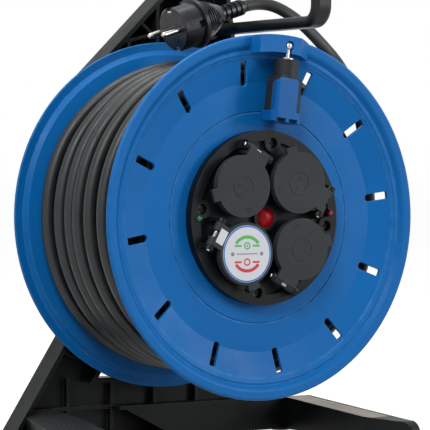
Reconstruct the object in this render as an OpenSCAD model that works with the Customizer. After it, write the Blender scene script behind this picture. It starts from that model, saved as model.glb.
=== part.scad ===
// Extension cord reel. A cable drum turns on an axle that stands out of an upright moulded
// frame. Its front flange carries a four-way socket insert with sprung lids and a crank
// whose grip folds flat. +X is right and +Y is away from the socket side.

/* [Drum] */
// Radius of both flange rims
rim_r = 145; // [142:1:150]
// Distance between the two rim planes
drum_w = 151.5; // [145:0.5:165]
// Outer radius of the barrel under the cable
barrel_r = 79; // [78:1:85]
// Wall of the flanges and of the barrel
wall = 3; // [2.5:0.1:4]
// Depth of the flat part of a flange behind its rim plane
dish = 9.3; // [8:0.1:12]
// Angle at which the drum stands at rest
drum_turn = 7; // [-180:1:180]
// Number of slots in the front flange
slot_count = 12; // [6:1:16]
// Width of one slot
slot_w = 6; // [4:0.5:8]
// Length of one slot
slot_len = 20; // [14:1:22]

/* [Cable] */
// Diameter of the rubber cable
cable_d = 10; // [8:0.5:11]
// Radius of the wound layers under the outer one
core_r = 118; // [110:1:120]
// Turns in the outer layer
outer_turns = 6; // [4:1:8]
// Width left free for the cable's outgoing turn
lead_gap = 30; // [28:1:36]

/* [Socket insert] */
// Radius of the insert's face plate
plate_r = 69.3; // [68:0.1:72]
// Distance of a socket's centre from the drum axis
socket_pitch_r = 37.4; // [36.5:0.1:39]
// Radius of the round recess of a socket
socket_r = 19.6; // [19:0.1:20]
// Wall of a socket's cup
cup_wall = 2.4; // [1.8:0.1:2.6]
// Radius of a lid
lid_r = 24.5; // [24.3:0.1:25]
// Thickness of a lid's disc and skirt
lid_t = 3; // [2:0.1:3]
// Radius of the reset button
button_r = 8; // [6:0.5:9]
// Travel of the reset button
button_travel = 2.5; // [1:0.5:3]

/* [Crank] */
// Radius of the crank's steel pin
crank_pin_r = 2; // [1.5:0.1:2.2]
// Width of the grip
grip_w = 26; // [22:1:26]
// Depth of the grip
grip_d = 18; // [15:1:18]
// Radius of the grip's round neck
neck_r = 9.8; // [8:0.1:10]

/* [Frame] */
// Height of the drum axis above the floor
axis_h = 190; // [185:1:215]
// Depth of the upright panel from front to back
panel_d = 23; // [20:1:30]
// Gap between the back rim and the panel
panel_gap = 5.5; // [4:0.5:10]
// Wall of the frame's mouldings
frame_wall = 4; // [3:0.5:5]
// Half of the width over both feet
foot_out = 152; // [150:1:165]
// Radius of the axle
axle_r = 10; // [8:0.5:11]
// Thickness of the rubber pads under the frame
pad_t = 2; // [2:0.5:5]

/* [Handle] */
// Sideways place of the handle loop
handle_x = 50; // [46:1:54]
// Width of the handle's oval bar
bar_w = 18; // [14:1:18]
// Thickness of the handle's oval bar
bar_t = 9.5; // [8:0.5:11]
// Radius of the handle's bends, to the middle of the bar
bend_r = 13; // [10:1:18]
// Height of the lower bar's middle above the drum axis
bar_low = 156.8; // [156:0.1:160]
// Height of the upper bar's middle above the drum axis
bar_high = 238; // [225:1:238]

/* [Plug] */
// Radius of the plug's round nose
nose_r = 18.3; // [18:0.1:19]
// Length of the plug with its strain relief
plug_len = 75; // [70:1:85]
// Upward tilt of the plug's cable end
plug_tilt = 17; // [0:1:25]

/* [Fits] */
// Radial clearance where something turns or slides
run_gap = 0.06; // [0.03:0.01:0.1]
// Gap between pieces that move past each other
clear_gap = 0.3; // [0.3:0.1:0.6]

/* [Hidden] */
$fn = 64;

eps = 0.01;
cut = 1;

// Row frame: the floor is z = 0 and the overall box is centred on x = 0 and y = 0
knob_axis_y = -7;
shell_out = max(grip_d / 2, neck_r) + 0.4;
knob_front = knob_axis_y - shell_out;
panel_y0 = drum_w + panel_gap;
panel_y1 = panel_y0 + panel_d;
cap_out = 7.2;
front_y = -(knob_front + panel_y1 + cap_out) / 2;

// Flange, measured inwards from the rim
cone_r = rim_r - 38;
step_r = rim_r - 18;
step_y = 5;
groove_r = 84;
insert_hole_r = plate_r - 3.8;
flange_in = dish + wall;

// Slots
slot_r0 = cone_r - 2;

// Socket insert, depths along +Y
plate_y = 0.5;
plate_floor = 4;
plate_back = 8.5;
plate_t = 3;
recess_r = 61;
gasket_t = dish - plate_back;
screw_pitch_r = 59.5;
well_y = 7.5;
well_r = 4.4;
socket_turn = 55;
hinge_dir = -78;
hinge_x = 31;
hinge_y = -6.5;
knuckle_r = 3.6;
knuckle_len = 20;
ear_t = 3.2;
hinge_pin_r = 1.2;
spring_r = 2.6;
lid_y = -11;
cup_r = socket_r + cup_wall;
cup_y = lid_y + lid_t + 0.4;
cup_floor = 10;
skirt_in = cup_r + 0.6;
skirt_y = -5;
contact_z = 9.5;
housing_y = 62;
switch_y = 22;
stem_r = 2.5;
housing_r = insert_hole_r - 3;
housing_wall = 2.5;
post_r = 4.5;
gland_z = -30;
lead_bend = 25;
lead_y = 110;

// Crank, drawn with the radial direction along +Z
ball_z = rim_r - 8;
ball_r = 3.5;
boss_left = -28;
boss_right = 10.5;
boss_ramp = 24;
boss_in = rim_r - 14;
boss_y = -10;
neck_top = ball_z - 11.3;
neck_end = ball_z - 25;
grip_end = ball_z - 61;
collar_h = 8;
shell_left = -grip_w / 2;
shell_right = 8.6;
shell_chamfer = 3.5;
end_core_r = 7.5;
notch_h = 2.8;
notches = [[-11, -2], [1, 9]];
fold_pin_r = 1.2;
fold_pin_len = 16;
slot_half = crank_pin_r + 0.5;

// Hub and axle
hub_r = 22;
hub_y0 = 112;
bush_t = 4;
bush_flange = 2;
axle_y0 = hub_y0 - 8;
clip_t = 1.8;

// Frame outline, clockwise from the lower left, in X and height above the drum axis
base_z = -axis_h + pad_t;
leg_slope = 1.53;
waist = 36;
leg_x = 90.3 + (axis_h - pad_t - 100.6) / leg_slope;
waist_z = -100.6 + (90.3 - waist) * leg_slope;
top_z = bar_high + 8;
outline = [
    [-leg_x, base_z], [-waist, waist_z], [-waist, 14], [-71, 110], [-70, 117], [-64, 122.6],
    [36, 219.3], [42, 233], [44, top_z], [56, top_z], [62, top_z - 10], [80, 112],
    [waist, 14], [waist, waist_z], [leg_x, base_z]
];
window_z = -136;
window_x = 58;
beam_z = -160;
window = [[-window_x, window_z], [0, window_z + window_x * leg_slope], [window_x, window_z]];
fan_rib_w = 2.5;
fan_ribs = [
    [[-52, 141], [76, 172]], [[-46, 60], [-46, 142]], [[-31, 20], [-31, 146]],
    [[-3, 36], [-3, 186]], [[25, 30], [25, 212]], [[-8, 152], [-30, 170]],
    [[-70, 96], [80, 96]]
];
leg_ribs = [[[-106, -107.3], [-83.3, -117.4]], [[106, -107.3], [83.3, -117.4]]];
beam_ribs = [-84, -42, 0, 42, 84];
beam_left = -41;
beam_foot = 13;
rib_depth = 14;
foot_screw_x = [-119, 131];
foot_screw_z = -175;
foot_boss_r = 6;
frame_screw_r = 3;

// Feet
foot_front = -8;
plan_front = foot_front - 2;
foot_in_right = 125;
left_plan = [
    [-130, panel_y0], [-107.8, panel_y0], [-109.4, 95], [-114, 55], [-128, plan_front],
    [-foot_out, plan_front], [-foot_out, 20]
];
right_plan = [
    [foot_in_right, panel_y0], [foot_out, panel_y0], [foot_out, plan_front],
    [foot_out - 4, plan_front], [foot_in_right, 40]
];
right_hollow = [
    [foot_in_right + wall, panel_y0 - wall], [foot_out - wall, panel_y0 - wall],
    [foot_out - wall, 8], [foot_out - 10, 8], [foot_in_right + wall, 40]
];
left_tilt = 16.7;
left_pivot = -114;
foot_slope = 0.065;
pad_r = 8;
pad_front_x = [-134, foot_out - 11.5];
pad_front_y = 34;
pad_back_x = leg_x - 18;

// Free cable, in the row frame, from the plug to the drum's lead gap
plug_yaw = 4;
plug_end = [45, 16, 364];
plug_dir = [cos(plug_tilt) * cos(plug_yaw), cos(plug_tilt) * sin(plug_yaw), sin(plug_tilt)];
lead_turn_y = -55;
lead_r = core_r + cable_d / 2 + 1.3;
lead_angles = [6:-12:-102];
cord_route = concat(
    [plug_end, plug_end + cable_d * plug_dir],
    [
        [65, 16, 368], [75, 12, 366], [84, 7, 360], [90, 1, 354], [96, -9, 344],
        [99, -18, 335], [101, -27, 327], [103, -38, 318], [109, -45, 302], [113, -49, 290],
        [116, -52, 274], [119, -54, 254], [121, -55, 231]
    ],
    [for (a = lead_angles) [lead_r * cos(a), lead_turn_y, axis_h + lead_r * sin(a)]]
);

// Outer layer of turns, in the drum's own frame
turn_rings = 24;
turn_y0 = flange_in + lead_gap + cable_d / 2;
turn_y1 = drum_w - flange_in - cable_d / 2;
turn_pitch = (turn_y1 - turn_y0) / outer_turns;
turn_r = (core_r + cable_d / 2) / cos(180 / turn_rings) + 0.2;
tuck_rings = 4;
tuck = 13;
function tuck_at(i, last) = let(from_end = min(i, last - i))
    from_end >= tuck_rings ? 0 : tuck * pow(1 - from_end / tuck_rings, 2);
winding_path = [
    for (i = [0 : outer_turns * turn_rings])
        let(a = i * 360 / turn_rings, r = turn_r - tuck_at(i, outer_turns * turn_rings))
        [r * cos(a), turn_y0 + turn_pitch * i / turn_rings, r * sin(a)]
];

// ---- Helpers ----

function unit(v) = v / norm(v);

// A closed clockwise outline moved inwards by d
function inset(pts, d) = [
    for (i = [0 : len(pts) - 1])
        let(
            before = pts[(i + len(pts) - 1) % len(pts)],
            after = pts[(i + 1) % len(pts)],
            u = unit(pts[i] - before),
            v = unit(after - pts[i]),
            nu = [u.y, -u.x],
            nv = [v.y, -v.x]
        )
        pts[i] + d * (nu + nv) / (1 + nu * nv)
];

// Points of an arc about a centre, from angle a0 to a1
function arc(centre, r, a0, a1, steps) = [
    for (i = [0 : steps])
        let(a = a0 + (a1 - a0) * i / steps)
        centre + r * [cos(a), sin(a)]
];

function heading(path, i) =
    unit(path[min(i + 1, len(path) - 1)] - path[max(i - 1, 0)]);

function ring_points(path, i, r, sides) =
    let(
        t = heading(path, i),
        side = unit(cross(t, [0, 1, 0])),
        up = cross(side, t)
    )
    [for (k = [0 : sides - 1]) path[i] + r * (cos(360 * k / sides) * side
                                              + sin(360 * k / sides) * up)];

function tube_faces(rings, sides) = concat(
    [for (i = [0 : rings - 2]) for (k = [0 : sides - 1])
        let(a = i * sides + k, b = i * sides + (k + 1) % sides)
        [a, b, b + sides]],
    [for (i = [0 : rings - 2]) for (k = [0 : sides - 1])
        let(a = i * sides + k, b = i * sides + (k + 1) % sides)
        [a, b + sides, a + sides]],
    [for (k = [1 : sides - 2]) [0, k + 1, k]],
    [for (k = [1 : sides - 2])
        let(last = (rings - 1) * sides)
        [last, last + k, last + k + 1]]
);

// A round tube swept along a path
module tube(path, r, sides)
    polyhedron(
        points = [for (i = [0 : len(path) - 1]) each ring_points(path, i, r, sides)],
        faces = tube_faces(len(path), sides)
    );

// The drum axis, with y = 0 at the front rim plane
module at_axis() translate([0, front_y, axis_h]) children();
module in_drum() at_axis() rotate([0, drum_turn, 0]) children();

// Turns +X towards +Z about the drum axis
module polar(angle) rotate([0, -angle, 0]) children();

// A solid of revolution about Y, drawn as radius and depth
module about_y() rotate([-90, 0, 0]) children();

module rod(r, y0, y1) about_y() translate([0, 0, y0]) cylinder(h = y1 - y0, r = r);

module ring(r_in, r_out, y0, y1)
    difference() {
        rod(r_out, y0, y1);
        rod(r_in, y0 - cut, y1 + cut);
    }

// A flat shape drawn in X and Z as seen from the front, from depth y0 to y1
module slab(y0, y1)
    translate([0, y1, 0]) rotate([90, 0, 0]) linear_extrude(y1 - y0) children();

// A cylinder along local Z, centred
module cross_rod(r, length) cylinder(h = length, r = r, center = true);

module strip2d(p, q, w)
    translate(p) rotate(atan2(q.y - p.y, q.x - p.x))
        translate([0, -w / 2]) square([norm(q - p), w]);

module round_rect2d(w, h, r) {
    square([w - 2 * r, h], center = true);
    square([w, h - 2 * r], center = true);
    for (x = [-1, 1], y = [-1, 1])
        translate([x * (w / 2 - r), y * (h / 2 - r)]) circle(r = r);
}

module stadium2d(w, h) {
    square([w - h, h], center = true);
    for (x = [-1, 1]) translate([x * (w - h) / 2, 0]) circle(d = h);
}

// A quarter bend in the plane across X, about the origin, starting at +Y
module yz_bend(r, start)
    rotate([start, 0, 0]) rotate([90, 0, 90])
        rotate_extrude(angle = 90) translate([r, 0]) children();

// A screw along +Y, its head's underside at y = 0, with a cross recess in the head
module screw(head_r, head_h, shank_r, length)
    difference() {
        union() {
            rod(head_r, -head_h, 0);
            rod(shank_r, -eps, length);
        }
        for (turn = [45, 135])
            rotate([0, turn, 0])
                translate([-head_r * 0.6, -head_h - cut, -head_r * 0.1])
                    cube([head_r * 1.2, cut + head_h * 0.6, head_r * 0.2]);
    }

// ---- Frame ----

module foot_screw_place(x) translate([x, 0, foot_screw_z]) children();

module panel_screw_places()
    for (x = foot_screw_x) foot_screw_place(x) children();

module handle_ends()
    for (z = [bar_low, bar_high]) translate([handle_x, 0, z]) children();

module fan_rib_lines()
    intersection() {
        polygon(outline);
        for (rib = fan_ribs) strip2d(rib[0], rib[1], fan_rib_w);
    }

module frame_panel() color([0.11, 0.11, 0.12]) at_axis()
    difference() {
        union() {
            slab(panel_y0, panel_y1) difference() {
                polygon(outline);
                polygon(inset(outline, frame_wall));
            }
            slab(panel_y1 - wall, panel_y1) polygon(outline);
            slab(panel_y0 + 1, panel_y1 - eps) fan_rib_lines();
            slab(panel_y0 + 1, panel_y1 - eps) intersection() {
                polygon(outline);
                for (rib = leg_ribs) strip2d(rib[0], rib[1], fan_rib_w);
            }
            slab(panel_y0 + rib_depth / 2, panel_y1 - eps) difference() {
                polygon(inset(window, -frame_wall));
                polygon(window);
            }
            slab(panel_y0 + rib_depth, panel_y1 - eps) intersection() {
                polygon(outline);
                translate([-leg_x, beam_z - wall]) square([leg_x, wall]);
            }
            slab(panel_y0, panel_y1 - eps)
                translate([beam_left, beam_z - wall]) square([foot_in_right - beam_left, wall]);
            slab(panel_y0, panel_y0 + wall) polygon([
                [beam_left, beam_z], [foot_in_right, beam_z], [foot_in_right, base_z],
                [beam_foot, base_z]
            ]);
            for (x = beam_ribs)
                slab(panel_y0 + rib_depth, panel_y1 - eps)
                    translate([x, base_z]) square([wall, window_z - base_z]);
            rod(30, panel_y0, panel_y1);
            handle_ends() rod(bar_t / 2 + 3, panel_y0, panel_y1);
            panel_screw_places() rod(foot_boss_r, panel_y0, panel_y1);
        }
        slab(panel_y0 - cut, panel_y1 + cut) polygon(window);
        rod(axle_r + run_gap, panel_y0 - cut, panel_y1 + cut);
        handle_ends() rod(2.5 + run_gap, panel_y0 - cut, panel_y1 + cut);
        panel_screw_places() rod(frame_screw_r + run_gap, panel_y0 - cut, panel_y1 + cut);
        for (a = [90, 210, 330])
            polar(a) translate([17, 0, 0]) rod(2 + run_gap, panel_y1 - 16, panel_y1 + cut);
    }

// Height of a foot's top above the drum axis at depth y, before its tilt
function foot_top(y) = beam_z - foot_slope * (panel_y0 - y);

module foot_side_profile(margin)
    polygon(concat(
        [[panel_y0 - margin, base_z - axis_h], [panel_y0 - margin, beam_z - margin]],
        arc([8 + margin, foot_top(8) - margin - 12], 12, 80, 165, 5),
        [[foot_front + margin, base_z], [foot_front + margin, base_z - axis_h]]
    ));

// A foot's outside, or with a margin its hollow, which is open below
module foot_block(plan, tilt, margin) {
    bottom = base_z - (margin > 0 ? cut : 0);
    intersection() {
        translate([0, 0, bottom]) linear_extrude(beam_z + 10 - bottom)
            polygon(plan);
        translate([left_pivot, 0, beam_z]) rotate([0, -tilt, 0])
            translate([-left_pivot, 0, -beam_z]) rotate([90, 0, 90])
                translate([0, 0, -2 * foot_out]) linear_extrude(4 * foot_out)
                    foot_side_profile(margin);
    }
}

module foot(plan, hollow, tilt, screw_x, pad_x) color([0.11, 0.11, 0.12]) at_axis()
    difference() {
        union() {
            difference() {
                foot_block(plan, tilt, 0);
                foot_block(hollow, tilt, wall);
            }
            intersection() {
                foot_block(plan, tilt, 0);
                foot_screw_place(screw_x) rod(foot_boss_r, panel_y0 - 26, panel_y0);
            }
            intersection() {
                foot_block(plan, tilt, 0);
                translate([pad_x, pad_front_y, base_z]) cylinder(h = 40, r = pad_r);
            }
        }
        foot_screw_place(screw_x)
            rod(frame_screw_r + run_gap, panel_y0 - 22, panel_y0 + cut);
    }

module foot_left()
    foot(left_plan, inset(left_plan, wall), left_tilt, foot_screw_x[0], pad_front_x[0]);

module foot_right() foot(right_plan, right_hollow, 0, foot_screw_x[1], pad_front_x[1]);

module rubber_feet() color([0.06, 0.06, 0.06]) at_axis()
    for (place = [
        [pad_front_x[0], pad_front_y], [pad_front_x[1], pad_front_y],
        [-pad_back_x, panel_y0 + panel_d / 2], [pad_back_x, panel_y0 + panel_d / 2]
    ])
        translate([place.x, place.y, -axis_h]) cylinder(h = pad_t, r = pad_r);

module frame_screws() color([0.75, 0.75, 0.77]) at_axis() {
    panel_screw_places() translate([0, panel_y1, 0]) rotate([0, 0, 180])
        screw(5.5, 3.5, frame_screw_r, panel_d + 20);
    for (a = [90, 210, 330])
        polar(a) translate([17, panel_y1 + wall, 0]) rotate([0, 0, 180])
            screw(3.5, 1.6, 2, 15);
}

// ---- Handle ----

front_leg_y = -5;

module handle_loop() color([0.09, 0.09, 0.1]) at_axis() translate([handle_x, 0, 0])
    difference() {
        union() {
            for (z = [bar_low, bar_high])
                slab(front_leg_y + bend_r, panel_y0) translate([0, z]) stadium2d(bar_w, bar_t);
            translate([0, front_leg_y, bar_low + bend_r])
                linear_extrude(bar_high - bar_low - 2 * bend_r) stadium2d(bar_w, bar_t);
            translate([0, front_leg_y + bend_r, bar_low + bend_r])
                yz_bend(bend_r, 180) rotate(90) stadium2d(bar_w, bar_t);
            translate([0, front_leg_y + bend_r, bar_high - bend_r])
                yz_bend(bend_r, 90) rotate(90) stadium2d(bar_w, bar_t);
        }
        for (z = [bar_low, bar_high])
            translate([0, 0, z]) rod(2.5 + run_gap, panel_y0 - 24, panel_y0 + cut);
    }

module handle_grip() color([0.05, 0.05, 0.05]) at_axis() translate([handle_x, 0, 0])
    slab(24, 140) translate([0, bar_high]) difference() {
        stadium2d(bar_w + 6, bar_t + 6);
        stadium2d(bar_w + 2 * run_gap, bar_t + 2 * run_gap);
    }

module handle_screws() color([0.75, 0.75, 0.77]) at_axis()
    handle_ends() translate([0, panel_y1, 0]) rotate([0, 0, 180])
        screw(4.8, 3, 2.5, panel_d + 20);

// ---- Axle ----

module axle() color([0.7, 0.7, 0.72]) at_axis()
    difference() {
        union() {
            rod(axle_r, axle_y0, panel_y1 + wall);
            rod(hub_r, panel_y1, panel_y1 + wall);
        }
        ring(axle_r - 1, axle_r + cut, axle_y0 + 4, axle_y0 + 4 + clip_t);
        for (a = [90, 210, 330])
            polar(a) translate([17, 0, 0])
                rod(2 + run_gap, panel_y1 - cut, panel_y1 + wall + cut);
    }

module axle_washer() color([0.75, 0.75, 0.77]) at_axis()
    ring(axle_r + run_gap, 18, axle_y0 + 4 + clip_t, hub_y0 - clear_gap);

module axle_clip() color([0.55, 0.55, 0.57]) at_axis()
    difference() {
        ring(axle_r - 1 + run_gap, 13, axle_y0 + 4, axle_y0 + 4 + clip_t);
        translate([-3, axle_y0, 0]) cube([6, 12, 20]);
    }

module hub_cap() color([0.09, 0.09, 0.1]) at_axis()
    difference() {
        rod(28, panel_y1, panel_y1 + cap_out);
        rod(25, panel_y1 - cut, panel_y1 + cap_out - 1.3);
    }

// ---- Free cable and plug ----

module cord_free() color([0.07, 0.07, 0.07]) tube(cord_route, cable_d / 2, 10);

// The plug's own frame: +X runs from the nose's face to the cable end
module in_plug()
    translate(plug_end) rotate([0, -plug_tilt, plug_yaw]) translate([-plug_len, 0, 0]) children();

module about_x() rotate([0, 90, 0]) children();

nose_len = 20;
pin_r = 2.4;
pin_len = 19;
pin_root_r = 2;
relief_x = plug_len - 27;
relief_r = 6.8;
earth_w = 6;
relief_ribs = 5;

module plug_body() color([0.07, 0.07, 0.07]) in_plug()
    difference() {
        union() {
            about_x() rotate_extrude() polygon([
                [0, 0], [nose_r - 1, 0], [nose_r, 1], [nose_r, nose_len],
                [nose_r + 2.4, nose_len + 0.6], [nose_r + 2.4, nose_len + 4],
                [nose_r - 1.3, nose_len + 6], [nose_r - 3, relief_x - 13],
                [relief_r + 2, relief_x], [0, relief_x]
            ]);
        }
        for (z = [-1, 1]) {
            translate([-cut, -earth_w / 2, z > 0 ? nose_r - 4 : -nose_r - cut])
                cube([14 + cut, earth_w, 4 + cut]);
            translate([5, z > 0 ? nose_r - 2.6 : -nose_r - cut, -3])
                cube([nose_len - 5, 2.6 + cut, 6]);
        }
        for (y = [-1, 1])
            translate([0, y * contact_z, 0]) about_x()
                translate([0, 0, -cut]) cylinder(h = 12 + cut, r = pin_root_r);
    }

module plug_relief() color([0.06, 0.06, 0.06]) in_plug()
    about_x() rotate_extrude() polygon(concat(
        [[0, relief_x]],
        [for (i = [0 : relief_ribs - 1])
            let(pitch = 27 / relief_ribs, x = relief_x + i * pitch)
            each [[relief_r, x], [relief_r, x + pitch * 0.6],
                  [relief_r - 1.2, x + pitch * 0.65],
                  [relief_r - 1.2, x + pitch * 0.95]]],
        [[relief_r - 1.2, plug_len], [0, plug_len]]
    ));

module plug_pins() color([0.8, 0.8, 0.82]) in_plug()
    for (y = [-1, 1]) translate([0, y * contact_z, 0]) {
        about_x() translate([0, 0, -pin_len + pin_r]) cylinder(h = pin_len - pin_r, r = pin_r);
        translate([-pin_len + pin_r, 0, 0]) sphere(r = pin_r);
        about_x() translate([0, 0, -eps]) cylinder(h = 12 + eps, r = pin_root_r);
    }

module plug_earth_contacts() color([0.8, 0.72, 0.5]) in_plug()
    for (z = [-1, 1])
        translate([0.5, -earth_w / 2 + 0.5, z > 0 ? nose_r - 4 : -nose_r + 2.4])
            cube([13.5, earth_w - 1, 1.6]);

// ---- Flanges and barrel ----

// Half section of a flange, as radius and depth behind its rim plane
function flange_section(hole_r) = concat(
    [
        [hole_r, dish], [groove_r - 0.6, dish], [groove_r - 0.6, dish + 0.7],
        [groove_r + 0.6, dish + 0.7], [groove_r + 0.6, dish], [cone_r, dish],
        [step_r, step_y], [step_r + 0.5, step_y - 0.7]
    ],
    arc([step_r + 4.2, step_y + 1.5], 3.4, 225, 305, 4),
    [[rim_r - 8.5, 0.9], [rim_r - 7, 0.3]],
    arc([rim_r - 2, 2], 2, 270, 360, 4),
    [
        [rim_r - 0.4, wall + 0.2], [rim_r - 7, wall + 0.4], [rim_r - 10.5, step_y + 1.6],
        [step_r + 0.6, step_y + wall], [cone_r + 0.5, flange_in], [hole_r, flange_in]
    ]
);

module slot2d() {
    translate([slot_w / 2, 0]) circle(d = slot_w);
    translate([slot_w / 2, -slot_w / 2]) square([slot_len - slot_w / 2 - 1, slot_w]);
    translate([slot_w / 2, -slot_w / 2 + 1]) square([slot_len - slot_w / 2, slot_w - 2]);
    for (side = [-1, 1]) translate([slot_len - 1, side * (slot_w / 2 - 1)]) circle(r = 1);
}

module flange_slots()
    for (k = [0 : slot_count - 1])
        polar((k + 0.5) * 360 / slot_count)
            slab(-cut, flange_in + cut) translate([slot_r0, 0]) slot2d();

module crank_boss()
    difference() {
        intersection() {
            ring(boss_in, rim_r, boss_y, wall);
            linear_extrude(rim_r) polygon([
                [boss_left - 1.5, wall], [boss_left, boss_y], [boss_right, boss_y],
                [boss_ramp, 0], [boss_ramp, wall]
            ]);
        }
        translate([0, knob_axis_y, ball_z]) {
            sphere(r = ball_r + 0.4);
            rod(ball_r + 0.4, boss_y - cut - knob_axis_y, 0);
            rotate([0, 90, 0]) cross_rod(fold_pin_r + run_gap, fold_pin_len + 1);
        }
        translate([-slot_half, boss_y - cut, boss_in - cut])
            cube([2 * slot_half, knob_axis_y + slot_half - boss_y + cut, ball_z - boss_in + cut]);
    }

module front_flange() color([0.05, 0.33, 0.66]) in_drum()
    difference() {
        union() {
            about_y() rotate_extrude($fn = 96) polygon(flange_section(insert_hole_r));
            crank_boss();
        }
        flange_slots();
    }

module flange_screw_places()
    for (a = [30 : 60 : 330]) polar(a) translate([68, 0, 0]) children();

module back_flange() color([0.05, 0.33, 0.66]) in_drum()
    difference() {
        union() {
            translate([0, drum_w, 0]) mirror([0, 1, 0])
                about_y() rotate_extrude($fn = 96) polygon(flange_section(hub_r - 1));
            ring(axle_r + run_gap + bush_t, hub_r, hub_y0, panel_y0 - bush_flange - clear_gap);
            for (a = [0 : 60 : 300])
                polar(a) translate([hub_r - 1, drum_w - flange_in - 14, -1.5]) cube([34, 14.2, 3]);
        }
        rod(axle_r + run_gap + bush_t, hub_y0 - cut, panel_y0 + cut);
        flange_screw_places() rod(2.5 + run_gap, drum_w - flange_in - cut, drum_w);
    }

module barrel() color([0.05, 0.3, 0.6]) in_drum()
    difference() {
        union() {
            ring(barrel_r - wall, barrel_r, flange_in, drum_w - flange_in);
            ring(61, barrel_r - wall + eps, drum_w - flange_in - 4, drum_w - flange_in);
            flange_screw_places() rod(5, drum_w - flange_in - 18, drum_w - flange_in);
            for (k = [0 : 3])
                polar(90 * k) {
                    translate([screw_pitch_r, 0, 0]) rod(post_r, dish, housing_y);
                    translate([screw_pitch_r + post_r - 1, flange_in, -2.5])
                        cube([barrel_r - wall - screw_pitch_r - post_r + 1.5,
                              housing_y - flange_in, 5]);
                }
        }
        flange_screw_places() rod(2.5 + run_gap, drum_w - flange_in - 16, drum_w);
        for (k = [0 : 3])
            polar(90 * k) translate([screw_pitch_r, 0, 0])
                rod(2 + run_gap, dish - cut, dish + 24);
        translate([0, lead_y, -barrel_r]) cross_rod(8 + run_gap, 20);
    }

module drum_bush() color([0.85, 0.82, 0.7]) in_drum()
    difference() {
        union() {
            rod(axle_r + run_gap + bush_t - 0.02, hub_y0, panel_y0 - clear_gap);
            rod(hub_r - 2, panel_y0 - clear_gap - bush_flange, panel_y0 - clear_gap);
        }
        rod(axle_r + run_gap, hub_y0 - cut, panel_y0 + cut);
    }

module flange_screws() color([0.7, 0.7, 0.72]) in_drum()
    flange_screw_places() translate([0, drum_w - dish, 0]) rotate([0, 0, 180])
        screw(4.6, 2.6, 2.5, wall + 14);

// ---- Winding ----

module winding_core() color([0.09, 0.09, 0.09]) in_drum()
    ring(barrel_r, core_r, flange_in + 0.2, drum_w - flange_in - 0.2);

module winding_outer() color([0.1, 0.1, 0.1]) in_drum() tube(winding_path, cable_d / 2, 6);

// Least distance between points of the outer layer a turn or more apart, less the diameter
turn_gap = min([
    for (i = [0 : 6 : len(winding_path) - 1])
        for (j = [i + turn_rings - 6 : len(winding_path) - 1])
            norm(winding_path[i] - winding_path[j])
]) - cable_d;
echo(least_gap_between_turns = turn_gap);

module lead_grommet() color([0.05, 0.05, 0.05]) in_drum()
    translate([0, lead_y, -barrel_r + wall])
        difference() {
            union() {
                translate([0, 0, -wall + 0.5]) cylinder(h = wall + 1.5, r = 8);
                translate([0, 0, 0.75]) cylinder(h = 2.25, r = 10.5);
            }
            cross_rod(cable_d / 2 + run_gap, 30);
        }

module inner_lead() color([0.08, 0.08, 0.08]) in_drum() {
    translate([0, 0, gland_z]) rod(cable_d / 2, 52, lead_y - lead_bend);
    translate([0, lead_y - lead_bend, gland_z - lead_bend])
        yz_bend(lead_bend, 0) circle(d = cable_d);
    translate([0, lead_y, -barrel_r + 0.2])
        cylinder(h = barrel_r - 0.2 + gland_z - lead_bend, r = cable_d / 2);
}

module housing_gland() color([0.08, 0.08, 0.08]) in_drum() translate([0, 0, gland_z])
    difference() {
        union() {
            rod(8, housing_y - 6, housing_y + 4);
            about_y() translate([0, 0, housing_y]) cylinder(h = 9, r = 12, $fn = 6);
            about_y() translate([0, 0, housing_y + 9]) cylinder(h = 8, r1 = 10.5, r2 = 7.5);
        }
        rod(cable_d / 2 + run_gap, housing_y - 10, housing_y + 20);
    }

// ---- Socket insert ----

// A socket's frame: +X points from the socket's centre to its lid's hinge
module at_socket(k)
    polar(socket_turn + 90 * k) translate([socket_pitch_r, 0, 0]) polar(hinge_dir) children();

module hinge_line(k) at_socket(k) translate([hinge_x, hinge_y, 0]) children();

module plate_screw_places()
    for (k = [0 : 3]) polar(90 * k) translate([screw_pitch_r, 0, 0]) children();

led_r = 2.5;
led_pitch_r = 62.3;
led_angles = [187, 10];

module hinge_ears(k)
    hinge_line(k) for (side = [-1, 1])
        translate([0, 0, side * (knuckle_len / 2 + clear_gap + ear_t / 2)]) {
            cross_rod(knuckle_r + 0.4, ear_t);
            translate([-knuckle_r - 0.4, 0, -ear_t / 2])
                cube([2 * knuckle_r + 0.8, plate_floor - hinge_y + eps, ear_t]);
        }

module socket_plate() color([0.13, 0.13, 0.14]) in_drum()
    difference() {
        union() {
            ring(recess_r, plate_r, plate_y, plate_back);
            rod(recess_r + eps, plate_floor, plate_floor + plate_t);
            rod(button_r + 2.5, plate_y, plate_floor + plate_t);
            plate_screw_places() rod(7.5, plate_y, plate_back);
            plate_screw_places() rod(post_r + 0.7, plate_back - eps, dish);
            for (k = [0 : 3]) hinge_ears(k);
        }
        for (k = [0 : 3]) {
            at_socket(k) rod(cup_r + run_gap, plate_y - cut, plate_back + cut);
            hinge_line(k) cross_rod(hinge_pin_r + run_gap, 40);
        }
        plate_screw_places() {
            rod(well_r, plate_y - cut, well_y);
            rod(2 + run_gap, well_y - cut, dish + cut);
        }
        rod(button_r + run_gap, plate_y - cut, plate_back + cut);
        for (a = led_angles)
            polar(a) translate([led_pitch_r, 0, 0])
                rod(led_r + run_gap, plate_y - cut, plate_back + cut);
    }

module plate_gasket() color([0.05, 0.05, 0.05]) in_drum()
    ring(insert_hole_r + 0.3, plate_r - 0.3, plate_back, dish);

module plate_screws() color([0.75, 0.75, 0.77]) in_drum()
    plate_screw_places() translate([0, well_y, 0]) screw(3.9, 2.4, 2, 22);

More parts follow.
